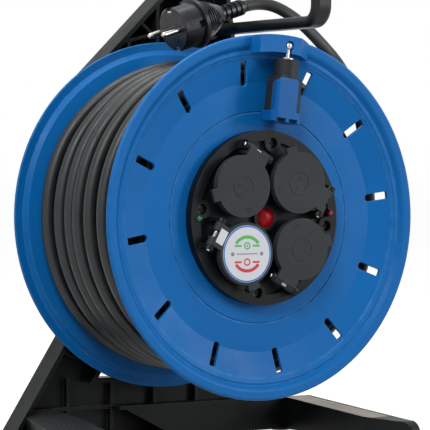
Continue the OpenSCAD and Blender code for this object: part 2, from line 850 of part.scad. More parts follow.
module socket_cups() color([0.1, 0.1, 0.11]) in_drum()
    for (k = [0 : 3]) at_socket(k)
        difference() {
            union() {
                ring(socket_r, cup_r, cup_y, cup_floor + eps);
                rod(cup_r, cup_floor, cup_floor + wall);
                ring(cup_r - eps, cup_r + 1.6, plate_floor + plate_t, plate_floor + plate_t + 1.5);
            }
            for (side = [-1, 1])
                translate([0, 0, side * contact_z])
                    rod(2.7, cup_floor - cut, cup_floor + wall + cut);
        }

module pin_contacts() color([0.8, 0.66, 0.3]) in_drum()
    for (k = [0 : 3]) at_socket(k) for (side = [-1, 1])
        translate([0, 0, side * contact_z])
            ring(2.5, 3.4, cup_floor + wall, cup_floor + wall + 15);

module earth_clips() color([0.8, 0.8, 0.82]) in_drum()
    for (k = [0 : 3]) at_socket(k) for (side = [-1, 1])
        translate([side * (socket_r - 1) - 0.5, -3, -3.5]) cube([1, cup_floor + 3, 7]);

module housing2d(r, notch_r)
    difference() {
        circle(r = r);
        for (k = [0 : 3]) rotate(90 * k) translate([screw_pitch_r, 0]) circle(r = notch_r);
    }

module insert_housing() color([0.1, 0.1, 0.11]) in_drum()
    difference() {
        slab(plate_back, housing_y) housing2d(housing_r, post_r + 1);
        slab(plate_back - cut, housing_y - housing_wall)
            housing2d(housing_r - housing_wall, post_r + 1 + housing_wall);
        translate([0, 0, gland_z]) rod(8 + run_gap, housing_y - 10, housing_y + cut);
    }

module terminal_block() color([0.85, 0.85, 0.8]) in_drum()
    difference() {
        translate([-22, 44, 4]) cube([44, housing_y - housing_wall - 44, 20]);
        for (x = [-14, 0, 14]) translate([x, 0, 14]) rod(2.6, 43, 52);
    }

module thermal_switch() color([0.15, 0.15, 0.16]) in_drum()
    difference() {
        union() {
            translate([-9, switch_y, -9]) cube([18, 16, 18]);
            translate([-6, switch_y + 15, -6])
                cube([12, housing_y - housing_wall - switch_y - 15, 9]);
        }
        rod(stem_r + run_gap, switch_y - cut, switch_y + 4 + button_travel + 1);
    }

module led(angle) in_drum() polar(angle) translate([led_pitch_r, 0, 0]) {
    rod(led_r, 0, plate_back);
    sphere(r = led_r);
}

module led_green() color([0.1, 0.5, 0.3]) led(led_angles[0]);
module led_red() color([0.7, 0.1, 0.12]) led(led_angles[1]);

module lid_pins() color([0.75, 0.75, 0.77]) in_drum()
    for (k = [0 : 3]) hinge_line(k)
        cross_rod(hinge_pin_r, knuckle_len + 2 * clear_gap + 2 * ear_t);

module lid_springs() color([0.6, 0.6, 0.62]) in_drum()
    for (k = [0 : 3]) hinge_line(k)
        difference() {
            union() {
                cross_rod(spring_r, 5.6);
                translate([-0.5, spring_r - 0.6, -0.5])
                    cube([1, plate_floor - hinge_y - spring_r + 0.6, 1]);
            }
            cross_rod(hinge_pin_r + 0.3, 8);
        }

module lid(k) in_drum() at_socket(k)
    difference() {
        union() {
            rod(lid_r, lid_y, lid_y + lid_t);
            ring(skirt_in, lid_r, lid_y + lid_t - eps, skirt_y);
            slab(lid_y, lid_y + lid_t)
                translate([cup_r - 2, -knuckle_len / 2 + 0.5])
                    square([hinge_x - cup_r + 2, knuckle_len - 1]);
            translate([hinge_x, hinge_y, 0]) cross_rod(knuckle_r, knuckle_len);
            polar(135) slab(lid_y, lid_y + lid_t) translate([lid_r - 2, -5]) square([6.5, 10]);
        }
        translate([hinge_x, hinge_y, 0]) {
            cross_rod(hinge_pin_r + run_gap, 40);
            cross_rod(spring_r + 0.5, 6.4);
            translate([0, -6, -3.2]) cube([6, 12, 6.4]);
            translate([-knuckle_r - 0.4, 0, -3.2]) cube([10, 6, 6.4]);
        }
    }

module lid_1() color([0.12, 0.12, 0.13]) lid(0);
module lid_2() color([0.12, 0.12, 0.13]) lid(1);
module lid_3() color([0.12, 0.12, 0.13]) lid(2);
module lid_4() color([0.12, 0.12, 0.13]) lid(3);

module lid_label() color([0.93, 0.93, 0.95]) in_drum() at_socket(2) {
    rod(lid_r - 2, lid_y - 0.2, lid_y);
    slab(lid_y - 0.2, lid_y) translate([lid_r - 1, -6]) square([7, 12]);
}

// ---- Reset button ----

module reset_button() color([0.75, 0.06, 0.1]) in_drum() {
    intersection() {
        rod(button_r, -2, plate_floor + plate_t + 1);
        translate([0, 10, 0]) sphere(r = 12);
    }
    rod(button_r + 1.4, plate_floor + plate_t + clear_gap, plate_floor + plate_t + 1.6);
    rod(stem_r, plate_floor + plate_t, switch_y + 4);
}

// ---- Crank ----

module crank_ball() color([0.82, 0.82, 0.84]) in_drum()
    translate([0, knob_axis_y, ball_z])
        difference() {
            sphere(r = ball_r);
            rotate([0, 90, 0]) cross_rod(fold_pin_r + 0.02, 20);
            translate([0, 0, -ball_r - cut]) cylinder(h = 2 + cut, r = crank_pin_r + 0.02);
        }

module crank_fold_pin() color([0.7, 0.7, 0.72]) in_drum()
    translate([0, knob_axis_y, ball_z]) rotate([0, 90, 0]) cross_rod(fold_pin_r, fold_pin_len);

module crank_pin() color([0.78, 0.78, 0.8]) in_drum() translate([0, knob_axis_y, 0]) {
    translate([0, 0, grip_end + 1.5])
        cylinder(h = ball_z - ball_r + 2 - grip_end - 1.5, r = crank_pin_r);
    translate([0, 0, grip_end + 0.5]) cylinder(h = 2, r = 4);
}

module crank_washer() color([0.8, 0.8, 0.82]) in_drum()
    translate([0, knob_axis_y, neck_top + clear_gap])
        difference() {
            cylinder(h = 1.2, r = 5.5);
            translate([0, 0, -cut]) cylinder(h = 4, r = crank_pin_r + 0.02);
        }

module grip_bore()
    union() {
        translate([0, 0, grip_end - cut]) cylinder(h = 70, r = crank_pin_r + run_gap);
        translate([0, 0, grip_end - cut]) cylinder(h = 3.5 + clear_gap, r = 4 + 0.4);
    }

module shell2d()
    translate([(shell_left + shell_right) / 2, -(shell_out + 1.8) / 2])
        round_rect2d(shell_right - shell_left, shell_out - 1.8, 2.5);

// A front view with its two upper corners cut off, as a block as deep as the grip
module chamfered(x0, x1, z1, chamfer)
    slab(-2 * grip_d, 2 * grip_d) polygon([
        [x0, grip_end - cut], [x0, z1 - chamfer], [x0 + chamfer, z1], [x1 - chamfer, z1],
        [x1, z1 - chamfer], [x1, grip_end - cut]
    ]);

module grip_shell_blank() {
    intersection() {
        translate([0, 0, grip_end + collar_h - eps])
            linear_extrude(neck_end - grip_end - collar_h) shell2d();
        chamfered(shell_left - eps, shell_right + eps, neck_end - 1.5, shell_chamfer);
    }
    translate([0, 0, grip_end]) linear_extrude(collar_h)
        round_rect2d(grip_w + 3, 2 * shell_out, 5);
}

module grip_core()
    translate([0, 0, grip_end + 1]) cylinder(h = collar_h + 1, r = end_core_r);

module collar_notches()
    for (n = notches)
        translate([n[0], -shell_out - cut, grip_end - cut])
            cube([n[1] - n[0], shell_out + cut - 5, notch_h + cut]);

module grip_body() color([0.1, 0.1, 0.11]) in_drum() translate([0, knob_axis_y, 0])
    difference() {
        union() {
            difference() {
                union() {
                    translate([0, 0, neck_end - 8])
                        cylinder(h = neck_top - neck_end + 8, r = neck_r);
                    intersection() {
                        translate([0, 0, grip_end + collar_h])
                            linear_extrude(neck_end - grip_end - collar_h + 1)
                                round_rect2d(grip_w, grip_d, 5);
                        chamfered(-grip_w / 2 - eps, grip_w / 2 + eps, neck_end + 0.5, 4.5);
                    }
                }
                grip_shell_blank();
            }
            grip_core();
        }
        grip_bore();
    }

module grip_shell() color([0.05, 0.35, 0.7]) in_drum() translate([0, knob_axis_y, 0])
    difference() {
        grip_shell_blank();
        grip_core();
        collar_notches();
        grip_bore();
    }

// ---- Assembly ----

frame_panel();
foot_left();
foot_right();
rubber_feet();
frame_screws();
handle_loop();
handle_grip();
handle_screws();
axle();
axle_washer();
axle_clip();
hub_cap();
cord_free();
plug_body();
plug_relief();
plug_pins();
plug_earth_contacts();
front_flange();
back_flange();
barrel();
drum_bush();
flange_screws();
winding_core();
winding_outer();
lead_grommet();
inner_lead();
housing_gland();
socket_plate();
plate_gasket();
plate_screws();
socket_cups();
pin_contacts();
earth_clips();
insert_housing();
terminal_block();
thermal_switch();
led_green();
led_red();
lid_pins();
lid_springs();
lid_1();
lid_2();
lid_3();
lid_4();
lid_label();
reset_button();
crank_ball();
crank_pin();
crank_fold_pin();
crank_washer();
grip_body();
grip_shell();
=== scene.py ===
import math
import random

import bmesh
import bpy
from mathutils import Matrix, Vector, noise


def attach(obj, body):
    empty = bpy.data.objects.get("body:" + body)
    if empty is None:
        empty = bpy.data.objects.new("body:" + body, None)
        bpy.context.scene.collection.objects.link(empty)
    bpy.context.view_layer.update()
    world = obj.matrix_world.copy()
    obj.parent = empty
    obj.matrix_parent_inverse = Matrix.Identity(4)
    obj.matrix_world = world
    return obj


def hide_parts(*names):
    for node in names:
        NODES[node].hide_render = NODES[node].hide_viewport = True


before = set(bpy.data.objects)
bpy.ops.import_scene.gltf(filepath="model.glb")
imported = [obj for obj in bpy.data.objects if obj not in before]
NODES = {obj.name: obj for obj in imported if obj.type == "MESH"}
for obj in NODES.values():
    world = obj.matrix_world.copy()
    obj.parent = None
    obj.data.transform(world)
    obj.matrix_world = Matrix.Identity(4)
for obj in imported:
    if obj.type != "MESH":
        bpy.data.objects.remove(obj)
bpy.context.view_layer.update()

# ---------------------------------------------------------------- places
# Row frame: z = 0 is the floor, the drum axis is at x = 0, z = AXIS_H, and y = FRONT_Y is the
# plane of the front rim. Shapes are given in millimetres and become metres as they are placed.
# Materials, lamps and the stage are in metres.

FRONT_Y = -85.0
AXIS_H = 190.0
DRUM_TURN = 7.0                 # degrees, clockwise seen from the front
SOCKET_R = 37.4                 # from the drum axis to a socket's centre
SOCKET_DEG = 55                 # direction of socket 0; the others follow by quarter turns
LID_DEG = -23                   # direction from the centre of socket 0 to its lid's hinge
HINGE_X, HINGE_Y = 31.0, -6.5   # axis of a lid's hinge, at its socket
LID_FACE = -11.0                # front of a shut lid
CABLE_R = 5.0


def mm(x, y, z):
    return Vector((x, y, z)) * 0.001


def still(x, y, z):
    """A point beside the drum, from its axis and front rim plane, that doesn't turn with it."""
    return mm(x, y + FRONT_Y, z + AXIS_H)


def drum(x, y, z):
    """A point of the drum in its own frame, which stands turned by DRUM_TURN."""
    c, s = math.cos(math.radians(DRUM_TURN)), math.sin(math.radians(DRUM_TURN))
    return still(x * c + z * s, y, -x * s + z * c)


def polar(r, deg, y):
    return drum(r * math.cos(math.radians(deg)), y, r * math.sin(math.radians(deg)))


def socket(k, x, y, z):
    """A point at socket k: x points from its centre to its lid's hinge, z along the hinge."""
    a, w = math.radians(SOCKET_DEG + 90 * k), math.radians(LID_DEG + 90 * k)
    cx, cz = SOCKET_R * math.cos(a), SOCKET_R * math.sin(a)
    return drum(cx + x * math.cos(w) - z * math.sin(w), y,
                cz + x * math.sin(w) + z * math.cos(w))


# ---------------------------------------------------------------- camera

def camera():
    """The photo's camera, from a fit to both rims, the slots, the lids and the crank."""
    data = bpy.data.cameras.new("camera")
    cam = bpy.data.objects.new("camera", data)
    bpy.context.scene.collection.objects.link(cam)
    right = Vector((0.83989, -0.54277, 0.0))
    up = Vector((0.01038, 0.01606, 0.99983))
    back = Vector((-0.54267, -0.83974, 0.01912))
    turn = Matrix((right, up, back)).transposed().to_4x4()
    cam.matrix_world = Matrix.Translation(mm(-1096.66, -1708.02, 229.69)) @ turn
    data.sensor_width = 36
    data.lens = 207.14
    data.clip_start = 0.05
    data.clip_end = 60
    bpy.context.scene.camera = cam


camera()

# ---------------------------------------------------------------- mesh helpers


def put(name, verts, faces, smooth=True):
    mesh = bpy.data.meshes.new(name)
    mesh.from_pydata([tuple(v) for v in verts], [], faces)
    mesh.update()
    for p in mesh.polygons:
        p.use_smooth = smooth
    ob = bpy.data.objects.new(name, mesh)
    bpy.context.scene.collection.objects.link(ob)
    return ob


def joined(name, parts):
    """One object from several (verts, faces)."""
    verts, faces = [], []
    for v, f in parts:
        base = len(verts)
        verts += v
        faces += [tuple(i + base for i in q) for q in f]
    return put(name, verts, faces)


def sharpen(ob, degrees=35):
    """Keeps smooth shading off the edges that are sharper than this."""
    bm = bmesh.new()
    bm.from_mesh(ob.data)
    limit = math.radians(degrees)
    for e in bm.edges:
        if len(e.link_faces) == 2 and e.calc_face_angle(0) > limit:
            e.smooth = False
    bm.to_mesh(ob.data)
    bm.free()


def fix_normals(ob):
    bm = bmesh.new()
    bm.from_mesh(ob.data)
    bmesh.ops.recalc_face_normals(bm, faces=bm.faces)
    bm.to_mesh(ob.data)
    bm.free()


def smooth_path(points, step):
    """A Catmull-Rom curve through the points, about step apart."""
    out = []
    n = len(points)
    for i in range(n - 1):
        p1, p2 = points[i], points[i + 1]
        p0 = points[i - 1] if i > 0 else p1 * 2 - p2
        p3 = points[i + 2] if i + 2 < n else p2 * 2 - p1
        count = max(1, round((p2 - p1).length / step))
        for j in range(count):
            t = j / count
            out.append(0.5 * ((2 * p1) + (p2 - p0) * t + (2 * p0 - 5 * p1 + 4 * p2 - p3) * t * t
                              + (3 * p1 - p0 - 3 * p2 + p3) * t ** 3))
    out.append(points[-1].copy())
    return out


def relaxed(path, passes):
    """The path with its bends eased, between the same two ends."""
    for _ in range(passes):
        inner = [(a + 2 * b + c) / 4 for a, b, c in zip(path, path[1:], path[2:])]
        path = [path[0]] + inner + [path[-1]]
    return path


def tube_data(path, radius, sides=16):
    """(verts, faces) of a round tube with flat ends."""
    verts, faces = [], []
    n = len(path)
    aside = Vector((0.13, 0.31, 0.94))      # no path here starts this way
    side = (path[1] - path[0]).normalized().cross(aside).normalized()
    for i, p in enumerate(path):
        along = (path[min(i + 1, n - 1)] - path[max(i - 1, 0)]).normalized()
        side = (side - along * side.dot(along)).normalized()
        up = along.cross(side)
        for k in range(sides):
            a = 2 * math.pi * k / sides
            verts.append(p + (side * math.cos(a) + up * math.sin(a)) * radius)
    for i in range(n - 1):
        for k in range(sides):
            a, b = i * sides + k, i * sides + (k + 1) % sides
            faces.append((a, b, b + sides, a + sides))
    faces.append(tuple(range(sides - 1, -1, -1)))
    faces.append(tuple(range((n - 1) * sides, n * sides)))
    return verts, faces


def lathe_data(profile, place, steps):
    """(verts, faces) of a closed profile of (r, y) about an axis. place(r, angle, y) -> point."""
    verts, faces = [], []
    n = len(profile)
    for i in range(steps):
        angle = 360.0 * i / steps
        verts += [place(r, angle, y) for r, y in profile]
    for i in range(steps):
        here, there = i * n, (i + 1) % steps * n
        for j in range(n):
            k = (j + 1) % n
            faces.append((here + j, there + j, there + k, here + k))
    return verts, faces


def plate_data(outline, y0, y1, place):
    """(verts, faces) of a flat outline of (x, z) between two depths. place(x, y, z) -> point."""
    n = len(outline)
    verts = [place(x, y0, z) for x, z in outline] + [place(x, y1, z) for x, z in outline]
    faces = [tuple(range(n - 1, -1, -1)), tuple(range(n, 2 * n))]
    faces += [(i, (i + 1) % n, n + (i + 1) % n, n + i) for i in range(n)]
    return verts, faces


def bar_data(place, x, z, w, h, y, thick=0.06, turn=0.0):
    """A thin bar round (x, z), turned by degrees, with its front at depth y."""
    c, s = math.cos(math.radians(turn)), math.sin(math.radians(turn))
    corners = [(-w / 2, -h / 2), (w / 2, -h / 2), (w / 2, h / 2), (-w / 2, h / 2)]
    outline = [(x + a * c - b * s, z + a * s + b * c) for a, b in corners]
    return plate_data(outline, y, y + thick, place)


def disc_data(place, r_out, y, r_in=0.0, steps=64, x=0.0, z=0.0, thick=0.06, a0=0.0, a1=360.0):
    """A thin flat disc, ring or arc round (x, z), with its front at depth y."""
    full = a1 - a0 >= 360.0
    n = steps if full else steps + 1
    verts, faces = [], []
    for depth in (y, y + thick):
        for r in (r_in, r_out):
            for i in range(n):
                a = math.radians(a0 + (a1 - a0) * i / steps)
                verts.append(place(x + r * math.cos(a), depth, z + r * math.sin(a)))
    for i in range(steps):
        j = (i + 1) % n
        faces.append((i, j, n + j, n + i))
        faces.append((2 * n + j, 2 * n + i, 3 * n + i, 3 * n + j))
        faces.append((n + i, n + j, 3 * n + j, 3 * n + i))
        if r_in > 0:
            faces.append((j, i, 2 * n + i, 2 * n + j))
    if not full:
        for i in (0, n - 1):
            faces.append((i, n + i, 3 * n + i, 2 * n + i))
    return verts, faces


# ---------------------------------------------------------------- materials

def linear(rgb):
    def one(v):
        v /= 255.0
        return v / 12.92 if v <= 0.04045 else ((v + 0.055) / 1.055) ** 2.4
    return tuple(one(v) for v in rgb) + (1.0,)


def scaled(rgba, factor, plus=0.0):
    return tuple(min(1.0, c * factor + plus) for c in rgba[:3]) + (1.0,)


class Nodes:
    """Short ways to build the node tree of one material."""

    def __init__(self, mat):
        mat.use_nodes = True
        self.mat = mat
        self.tree = mat.node_tree
        self.bsdf = self.tree.nodes["Principled BSDF"]
        self.where = self.new("ShaderNodeTexCoord").outputs["Object"]

    def new(self, kind, **props):
        node = self.tree.nodes.new(kind)
        for k, v in props.items():
            setattr(node, k, v)
        return node

    def link(self, a, b):
        self.tree.links.new(a, b)

    def noise(self, scale, detail=3.0, rough=0.55, stretch=None):
        node = self.new("ShaderNodeTexNoise")
        node.inputs["Scale"].default_value = scale
        node.inputs["Detail"].default_value = detail
        node.inputs["Roughness"].default_value = rough
        source = self.where
        if stretch:
            mapping = self.new("ShaderNodeMapping")
            mapping.inputs["Scale"].default_value = stretch
            self.link(source, mapping.inputs["Vector"])
            source = mapping.outputs["Vector"]
        self.link(source, node.inputs["Vector"])
        return node.outputs["Fac"]

    def spread(self, value, low, high, lo=0.35, hi=0.65):
        """Maps a value from lo..hi to low..high. A noise lies mostly in 0.35..0.65."""
        node = self.new("ShaderNodeMapRange")
        node.inputs["From Min"].default_value = lo
        node.inputs["From Max"].default_value = hi
        node.inputs["To Min"].default_value = low
        node.inputs["To Max"].default_value = high
        self.link(value, node.inputs["Value"])
        return node.outputs["Result"]

    def mix(self, fac, a, b):
        """Colour a where fac is 0 and b where it is 1. Each is a value or a socket."""
        node = self.new("ShaderNodeMix", data_type="RGBA")
        for value, index in ((a, 6), (b, 7)):
            if isinstance(value, tuple):
                node.inputs[index].default_value = value
            else:
                self.link(value, node.inputs[index])
        self.link(fac, node.inputs[0])
        return node.outputs[2]

    def math(self, op, a, b):
        """b is a number or a socket."""
        node = self.new("ShaderNodeMath", operation=op)
        self.link(a, node.inputs[0])
        if isinstance(b, float):
            node.inputs[1].default_value = b
        else:
            self.link(b, node.inputs[1])
        return node.outputs[0]

    def bump(self, height, strength, distance, normal=None):
        node = self.new("ShaderNodeBump")
        node.inputs["Strength"].default_value = strength
        node.inputs["Distance"].default_value = distance
        self.link(height, node.inputs["Height"])
        if normal is not None:
            self.link(normal, node.inputs["Normal"])
        return node.outputs["Normal"]

    def soft_edge(self, radius):
        """(normal, edge mask) of a small rounding at sharp edges."""
        bevel = self.new("ShaderNodeBevel", samples=4)
        bevel.inputs["Radius"].default_value = radius
        geo = self.new("ShaderNodeNewGeometry")
        dot = self.new("ShaderNodeVectorMath", operation="DOT_PRODUCT")
        self.link(bevel.outputs["Normal"], dot.inputs[0])
        self.link(geo.outputs["Normal"], dot.inputs[1])
        return bevel.outputs["Normal"], self.spread(dot.outputs["Value"], 1.0, 0.0, 0.90, 1.0)


def plastic(name, rgb, rough, vary, grain, scuff, spec=0.5, grain_scale=1400.0,
            edge=None, edge_rgb=None):
    """Moulded plastic: faint flow marks, a fine grain, handling scuffs and softened edges. The
    edge_rgb colour at sharp edges is wear on the frame and a painted highlight on the blue parts.
    """
    n = Nodes(bpy.data.materials.new(name))
    base = linear(rgb)
    flow = n.noise(9.0, 4.0, 0.5, stretch=(1.0, 1.0, 1.8))
    colour = n.mix(n.spread(flow, 0.0, 1.0), scaled(base, 1 - vary),
                   scaled(base, 1 + vary, 0.004 * vary))
    marks = n.noise(60.0, 6.0, 0.7)
    colour = n.mix(n.spread(marks, 0.0, scuff, 0.52, 0.78), colour, scaled(base, 1.2, 0.02))
    normal = None
    if edge:
        normal, mask = n.soft_edge(edge)
        # edge_rgb along sharp edges: wear on the frame's black plastic, a painted highlight on the
        # blue drum and shell
        edge_wear_and_highlight = n.math("MULTIPLY", mask, n.spread(n.noise(120.0, 4.0, 0.6), 0.15, 0.75))
        colour = n.mix(edge_wear_and_highlight, colour, linear(edge_rgb))
    n.link(colour, n.bsdf.inputs["Base Color"])
    n.link(n.spread(n.noise(35.0, 5.0, 0.6), rough - 0.06, rough + 0.08),
           n.bsdf.inputs["Roughness"])
    fine = n.noise(grain_scale, 2.0, 0.5)
    n.link(n.bump(fine, grain, 0.00012, normal), n.bsdf.inputs["Normal"])
    n.bsdf.inputs["Specular IOR Level"].default_value = spec
    return n.mat


def on_top(mat, rgb, amount, x_to=None, y_from=None, ridges=None):
    """A lighter colour on upward faces, as far as x_to and from y_from, with fine ridges along y.

    ridges is the distance from one ridge to the next.
    """
    n = Nodes(mat)
    up, at = n.new("ShaderNodeSeparateXYZ"), n.new("ShaderNodeSeparateXYZ")
    n.link(n.new("ShaderNodeNewGeometry").outputs["Normal"], up.inputs[0])
    n.link(n.where, at.inputs[0])
    top = n.spread(up.outputs["Z"], 0.0, 1.0, 0.75, 0.93)
    patches = n.noise(30.0, 5.0, 0.6, stretch=(3.0, 0.4, 1.0))
    mask = n.math("MULTIPLY", top, n.spread(patches, 0.6 * amount, amount))
    if x_to is not None:
        inside = n.spread(at.outputs["X"], 1.0, 0.0, x_to - 0.001, x_to)
        mask = n.math("MULTIPLY", mask, inside)
    if y_from is not None:
        inside = n.spread(at.outputs["Y"], 0.0, 1.0, y_from - 0.002, y_from)
        mask = n.math("MULTIPLY", mask, inside)
    if ridges:
        wave = n.new("ShaderNodeTexWave", wave_type="BANDS", bands_direction="X")
        # At a scale of 1 the bands of this texture are pi / 10 apart
        wave.inputs["Scale"].default_value = math.pi / (10.0 * ridges)
        wave.inputs["Distortion"].default_value = 0.25
        n.link(n.where, wave.inputs["Vector"])
        crest = n.math("MULTIPLY", wave.outputs["Fac"], top)
        mask = n.math("MULTIPLY", mask, crest)
        old = n.bsdf.inputs["Normal"].links[0].from_socket
        n.link(n.bump(crest, 0.8, 0.0005, old), n.bsdf.inputs["Normal"])
    old = n.bsdf.inputs["Base Color"].links[0].from_socket
    n.link(n.mix(mask, old, linear(rgb)), n.bsdf.inputs["Base Color"])
    return mat


def metal(name, rgb, rough, brushed=None, tarnish=0.12):
    """Bare metal with duller patches. brushed stretches them and the fine lines."""
    n = Nodes(bpy.data.materials.new(name))
    base = linear(rgb)
    patch = n.noise(180.0, 5.0, 0.6, stretch=brushed)
    n.link(n.mix(n.spread(patch, 0.0, 1.0), base, scaled(base, 1 - tarnish * 2)),
           n.bsdf.inputs["Base Color"])
    n.link(n.spread(patch, rough - 0.05, rough + 0.12), n.bsdf.inputs["Roughness"])
    n.bsdf.inputs["Metallic"].default_value = 1.0
    line = n.noise(900.0, 2.0, 0.5, stretch=brushed)
    n.link(n.bump(line, 0.12, 0.00008), n.bsdf.inputs["Normal"])
    return n.mat


def rubber(name, rgb, rough, spec, wear, grain):
    """Cable and plug rubber: matte, with dusty wear and a fine leathery skin."""
    n = Nodes(bpy.data.materials.new(name))
    base = linear(rgb)
    colour = n.mix(n.spread(n.noise(22.0, 5.0, 0.6), 0.0, 1.0), scaled(base, 0.8), base)
    colour = n.mix(n.spread(n.noise(140.0, 6.0, 0.7), 0.0, wear, 0.5, 0.75), colour,
                   scaled(base, 1.5, 0.012))
    n.link(colour, n.bsdf.inputs["Base Color"])
    n.link(n.spread(n.noise(70.0, 4.0, 0.6), rough - 0.08, rough + 0.08),
           n.bsdf.inputs["Roughness"])
    skin = n.noise(1500.0, 3.0, 0.6)
    n.link(n.bump(skin, grain, 0.00010), n.bsdf.inputs["Normal"])
    n.bsdf.inputs["Specular IOR Level"].default_value = spec
    return n.mat


def lens(name, rgb):
    """The tinted clear plastic of a lamp that is off."""
    n = Nodes(bpy.data.materials.new(name))
    base = linear(rgb)
    n.link(n.mix(n.spread(n.noise(260.0, 2.0), 0.0, 1.0), base, scaled(base, 0.5)),
           n.bsdf.inputs["Base Color"])
    n.link(n.spread(n.noise(300.0), 0.05, 0.12), n.bsdf.inputs["Roughness"])
    n.bsdf.inputs["Transmission Weight"].default_value = 0.35
    n.bsdf.inputs["IOR"].default_value = 1.49
    return n.mat


def frame_plastic(name, rgb):
    return plastic(name, rgb, rough=0.40, vary=0.14, grain=0.45, scuff=0.22, spec=0.12,
                   grain_scale=1100.0, edge=0.0008, edge_rgb=(104, 102, 98))


def ink(name, rgb):
    return plastic(name, rgb, rough=0.35, vary=0.04, grain=0.05, scuff=0.04)


# The light blue edge_rgb on the drum and the shell is a painted highlight along their edges.
BLUE = plastic("drum_blue", (6, 100, 172), rough=0.38, vary=0.04, grain=0.10, scuff=0.05,
               spec=0.13, edge=0.0010, edge_rgb=(104, 168, 222))
SHELL_BLUE = plastic("shell_blue", (6, 88, 156), rough=0.26, vary=0.05, grain=0.06, scuff=0.05,
                     spec=0.14, edge=0.0006, edge_rgb=(70, 140, 205))
FRAME_BLACK = frame_plastic("frame_black", (18, 21, 22))
# Lighter on its upward faces and along the ridge crests.
FOOT_LEFT = on_top(frame_plastic("foot_left_black", (18, 21, 22)), (52, 55, 57), 0.40,
                   ridges=0.0022)
# The pale strip on its upward faces is a painted highlight of the top light.
FOOT_RIGHT = on_top(frame_plastic("foot_right_black", (24, 27, 28)), (172, 163, 146), 1.0,
                    x_to=0.1478, y_from=-0.050)
HANDLE_BLACK = plastic("handle_black", (26, 29, 31), rough=0.36, vary=0.10, grain=0.3,
                       scuff=0.16, spec=0.22)
GRIP_SLEEVE = rubber("grip_sleeve", (22, 23, 24), rough=0.62, spec=0.25, wear=0.25, grain=0.7)
PLATE_BLACK = plastic("plate_black", (16, 19, 21), rough=0.34, vary=0.12, grain=0.25,
                      scuff=0.22, spec=0.13, edge=0.0005, edge_rgb=(86, 88, 90))
LID_BLACK = plastic("lid_black", (50, 54, 56), rough=0.52, vary=0.08, grain=0.55, scuff=0.20,
                    spec=0.12, grain_scale=1700.0, edge=0.0005, edge_rgb=(100, 103, 106))
INNER_BLACK = plastic("inner_black", (12, 14, 16), rough=0.35, vary=0.12, grain=0.15,
                      scuff=0.12, spec=0.15)
CRANK_BLACK = plastic("crank_black", (38, 41, 44), rough=0.44, vary=0.08, grain=0.4,
                      scuff=0.18, spec=0.16, edge=0.0006, edge_rgb=(88, 90, 92))
CABLE = rubber("cable_rubber", (42, 45, 46), rough=0.42, spec=0.34, wear=0.25, grain=0.35)
# A darker copy of the cable rubber: painted shade for the cable that lies deep in the drum, under
# and between the outer turns.
CABLE_PAINTED_SHADE = rubber("cable_painted_shade", (9, 10, 11), rough=0.65, spec=0.06, wear=0.15, grain=0.4)
PLUG = rubber("plug_rubber", (20, 23, 28), rough=0.32, spec=0.38, wear=0.18, grain=0.3)
SEAL = rubber("seal_rubber", (15, 16, 17), rough=0.7, spec=0.2, wear=0.2, grain=0.5)
STEEL = metal("zinc_steel", (188, 190, 194), rough=0.30, brushed=(1.0, 6.0, 1.0))
DARK_STEEL = metal("blackened_steel", (74, 76, 80), rough=0.34, tarnish=0.2)
CHROME = metal("nickel", (196, 193, 188), rough=0.16)
BRASS = metal("brass", (206, 168, 92), rough=0.25)
BUSH = plastic("bush_cream", (216, 210, 188), rough=0.5, vary=0.05, grain=0.2, scuff=0.1,
               spec=0.4)
TERMINAL = plastic("terminal_ivory", (222, 220, 206), rough=0.45, vary=0.04, grain=0.2,
                   scuff=0.1)
BUTTON = plastic("button_red", (160, 6, 20), rough=0.34, vary=0.10, grain=0.15, scuff=0.10,
                 spec=0.16)
LED_GREEN = lens("led_green", (24, 118, 78))
LED_RED = lens("led_red", (168, 14, 34))
LABEL = plastic("label_white", (212, 213, 220), rough=0.32, vary=0.02, grain=0.08, scuff=0.05,
                spec=0.25)
INK_BLUE = ink("ink_blue", (30, 112, 186))
INK_GREEN = ink("ink_green", (74, 168, 72))
INK_RED = ink("ink_red", (196, 28, 48))
INK_GREY = ink("ink_grey", (120, 124, 132))

WEARS = {
    "frame_panel": FRAME_BLACK, "foot_left": FOOT_LEFT, "foot_right": FOOT_RIGHT,
    "rubber_feet": SEAL, "frame_screws": STEEL, "handle_loop": HANDLE_BLACK,
    "handle_grip": GRIP_SLEEVE, "handle_screws": STEEL, "axle": STEEL, "axle_washer": STEEL,
    "axle_clip": STEEL, "hub_cap": HANDLE_BLACK, "cord_free": CABLE, "plug_body": PLUG,
    "plug_relief": PLUG, "plug_pins": CHROME, "plug_earth_contacts": CHROME,
    "front_flange": BLUE, "back_flange": BLUE, "barrel": BLUE, "drum_bush": BUSH,
    "flange_screws": STEEL, "winding_core": CABLE_PAINTED_SHADE, "winding_outer": CABLE,
    "lead_grommet": SEAL, "inner_lead": CABLE_PAINTED_SHADE, "housing_gland": INNER_BLACK,
    "socket_plate": PLATE_BLACK, "plate_gasket": SEAL, "plate_screws": DARK_STEEL,
    "socket_cups": INNER_BLACK, "pin_contacts": BRASS, "earth_clips": CHROME,
    "insert_housing": INNER_BLACK, "terminal_block": TERMINAL, "thermal_switch": INNER_BLACK,
    "led_green": LED_GREEN, "led_red": LED_RED, "lid_pins": CHROME, "lid_springs": STEEL,
    "lid_1": LID_BLACK, "lid_2": LID_BLACK, "lid_3": LID_BLACK, "lid_4": LID_BLACK,
    "lid_label": LABEL, "reset_button": BUTTON, "crank_ball": CHROME, "crank_pin": CHROME,
    "crank_fold_pin": STEEL, "crank_washer": CHROME, "grip_body": CRANK_BLACK,
    "grip_shell": SHELL_BLUE,
}


def dress(ob, material):
    if ob.data.materials:
        for i in range(len(ob.data.materials)):
            ob.data.materials[i] = material
    else:
        ob.data.materials.append(material)


for node_name, node_material in WEARS.items():
    dress(NODES[node_name], node_material)


